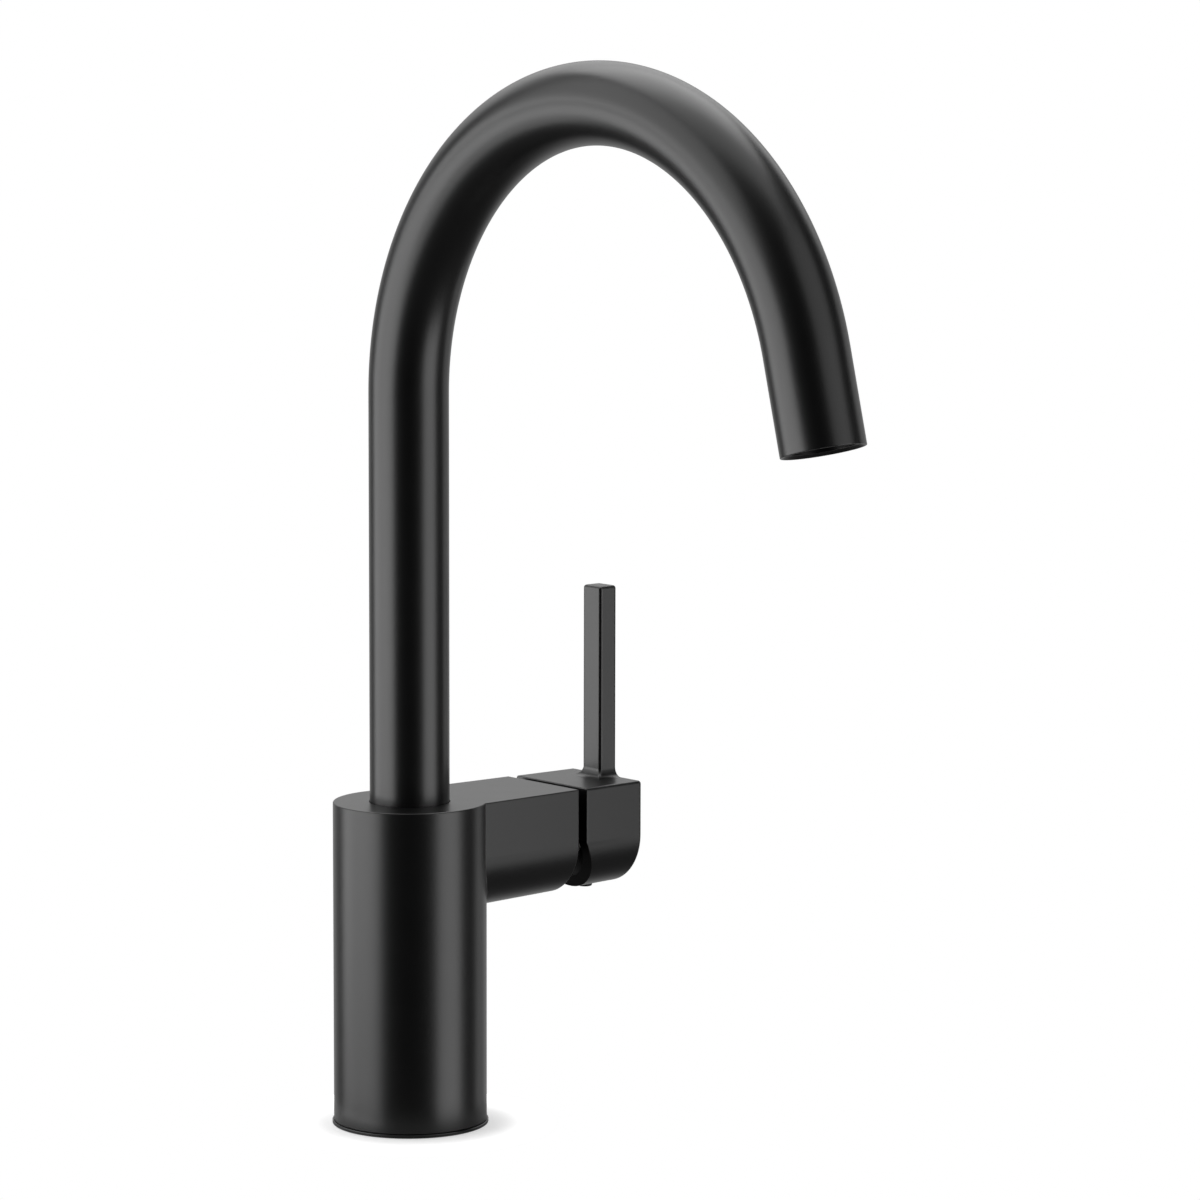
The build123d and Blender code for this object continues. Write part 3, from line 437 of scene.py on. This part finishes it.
# Studio: soft panels round the object, given by the angles at which it sees them. A turn is counted from the
# camera to the picture's right, a rise from the horizon, both in degrees, and radiance is a panel's brightness
studio = {"middle": (0.0, -0.07, 0.19), "distance": 5.0, "backdrop": 0.62, "backdropEdge": (0.55, 0.92),
          "below": 0.1, "belowEdge": (0.3, 0.65),
          "panels": {"leftSide": {"turn": (-116.0, -80.0), "rise": (-16.5, 2.7), "radiance": 3.4, "distance": 2.0},
                     "leftLow": {"turn": (-80.0, -44.0), "rise": (-16.5, 2.7), "radiance": 4.3, "distance": 2.0},
                     "leftFoot": {"turn": (-114.0, -48.0), "rise": (-36.0, -20.5), "radiance": 1.9},
                     "leftMid": {"turn": (-118.0, -52.0), "rise": (2.7, 14.0), "radiance": 3.3},
                     "leftHigh": {"turn": (-118.0, -53.0), "rise": (14.0, 50.0), "radiance": 1.9},
                     "rightLow": {"turn": (44.0, 83.5), "rise": (-31.0, 9.0), "radiance": 2.9},
                     "rightHigh": {"turn": (26.0, 88.0), "rise": (9.0, 56.0), "radiance": 1.05},
                     "rightRear": {"turn": (119.0, 134.0), "rise": (-30.0, 18.0), "radiance": 0.85},
                     "rearHigh": {"turn": (130.0, 230.0), "rise": (20.0, 42.0), "radiance": 1.0}},
          "overhead": {"overheadRear": {"depth": 1.3, "back": 0.85, "radiance": 3.3},
                       "overheadFront": {"depth": 0.8, "back": -0.2, "radiance": 1.5}},
          "overheadWidth": 1.8, "overheadLeft": 0.1, "overheadHeight": 1.5}


def aroundCamera(turn):
    # level direction at an angle from the one that points at the camera, counted to the picture's right
    yaw = math.radians(lens["yaw"])
    toCamera = np.array([-math.sin(yaw), -math.cos(yaw), 0.0])
    toRight = np.array([math.cos(yaw), -math.sin(yaw), 0.0])
    return math.cos(math.radians(turn)) * toCamera + math.sin(math.radians(turn)) * toRight


middle = np.array(studio["middle"])
upward = np.array([0.0, 0.0, 1.0])
leftward = aroundCamera(-90.0)
rearward = aroundCamera(180.0)


def softPanel(name, place, target, width, height, radiance):
    # a flat lamp whose face has the given brightness: power is radiance x area x pi
    lamp = bpy.data.lights.new(name, "AREA")
    lamp.shape = "RECTANGLE"
    lamp.size = width
    lamp.size_y = height
    lamp.energy = radiance * width * height * math.pi
    panel = bpy.data.objects.new(name, lamp)
    bpy.context.scene.collection.objects.link(panel)
    panel.location = place
    panel.rotation_euler = (Vector(place) - Vector(target)).to_track_quat("Z", "Y").to_euler()
    panel.visible_camera = False
    return panel


def standPanel(name, s):
    # fills its angles: width is 2 d tan(half the turn x cos rise), height is 2 d tan(half the rise)
    far = s.get("distance", studio["distance"])
    turn, rise = sum(s["turn"]) / 2, math.radians(sum(s["rise"]) / 2)
    spread = math.radians(s["turn"][1] - s["turn"][0]) * math.cos(rise)
    width = 2 * far * math.tan(spread / 2)
    height = 2 * far * math.tan(math.radians(s["rise"][1] - s["rise"][0]) / 2)
    direction = math.cos(rise) * aroundCamera(turn) + math.sin(rise) * upward
    softPanel(name, middle + far * direction, middle, width, height, s["radiance"])


def hangPanel(name, s):
    # lies level above the object, square to the camera's direction
    place = middle + studio["overheadLeft"] * leftward + studio["overheadHeight"] * upward + s["back"] * rearward
    panel = softPanel(name, place, place - upward, studio["overheadWidth"], s["depth"], s["radiance"])
    panel.rotation_euler.z = -math.radians(lens["yaw"])


for name, s in studio["panels"].items():
    standPanel(name, s)
for name, s in studio["overhead"].items():
    hangPanel(name, s)


def makeWorld():
    # white to the eye; reflections show the pale backdrop behind the object and a little of the room below it
    world = bpy.data.worlds.new("paleRoom")
    bpy.context.scene.world = world
    f = Finish(world)
    direction = f.node("ShaderNodeTexCoord", output="Generated")
    rear = f.vector("DOT_PRODUCT", direction, tuple(rearward), "Value")
    behind = f.ramp(rear, *studio["backdropEdge"], kind="SMOOTHSTEP")
    height = f.node("ShaderNodeSeparateXYZ", {}, {"Vector": direction}, "Z")
    under = f.ramp(0.0 - height, *studio["belowEdge"], kind="SMOOTHSTEP")
    mirrored = behind * studio["backdrop"] + (1.0 - behind) * under * studio["below"]
    background = f.node("ShaderNodeBackground", {}, {"Color": (1.0, 1.0, 1.0, 1.0),
                                                     "Strength": f.toEyeAndMirrors(mirrored)})
    f.node("ShaderNodeOutputWorld", {}, {"Surface": background})


makeWorld()
print("studio:", len(studio["panels"]) + len(studio["overhead"]), "soft panels and a pale room")

# Floor: a round of pale board that keeps the shadow at the base and turns to the room's white at its rim; its glow
# is weaker near the base, which adds a painted shade round the base to the real shadow
floorBoard = {"radius": 0.052, "hole": 0.0005, "rings": 24, "spokes": 96, "below": 0.0002,
              "colour": (0.5, 0.5, 0.5), "glow": (0.5, 1.0), "glowReach": (0.029, 0.048), "mirrored": 0.06}


def makeFloor():
    # a flat disc just under the base, radius (cos a, sin a) for each ring and spoke
    s = floorBoard
    radius = np.linspace(s["hole"], s["radius"], s["rings"])[:, None]
    angle = np.linspace(0.0, 2 * math.pi, s["spokes"], endpoint=False)[None, :]
    level = np.full_like(radius * angle, -s["below"])
    points = np.stack([radius * np.cos(angle), radius * np.sin(angle), level], -1)
    material, f = newMaterial("paleFloor")
    floor = gridMesh("floor", points, material, False)
    diffuse = f.node("ShaderNodeBsdfDiffuse", {}, {"Color": (*s["colour"], 1.0)})
    away = f.vector("LENGTH", f.place(), output="Value")
    # painted shade: the glow is weaker near the base, so the floor darkens round the base on top of its real
    # shadow
    glow = f.ramp(away, *s["glowReach"], *s["glow"], kind="SMOOTHSTEP")
    light = f.node("ShaderNodeEmission", {}, {"Color": f.toEyeAndMirrors(s["mirrored"]) * glow, "Strength": 1.0})
    both = f.node("ShaderNodeAddShader", {}, {0: diffuse, 1: light})
    f.node("ShaderNodeOutputMaterial", {}, {"Surface": both})


makeFloor()
print("floor:", floorBoard["rings"], "rings of", floorBoard["spokes"], "points")
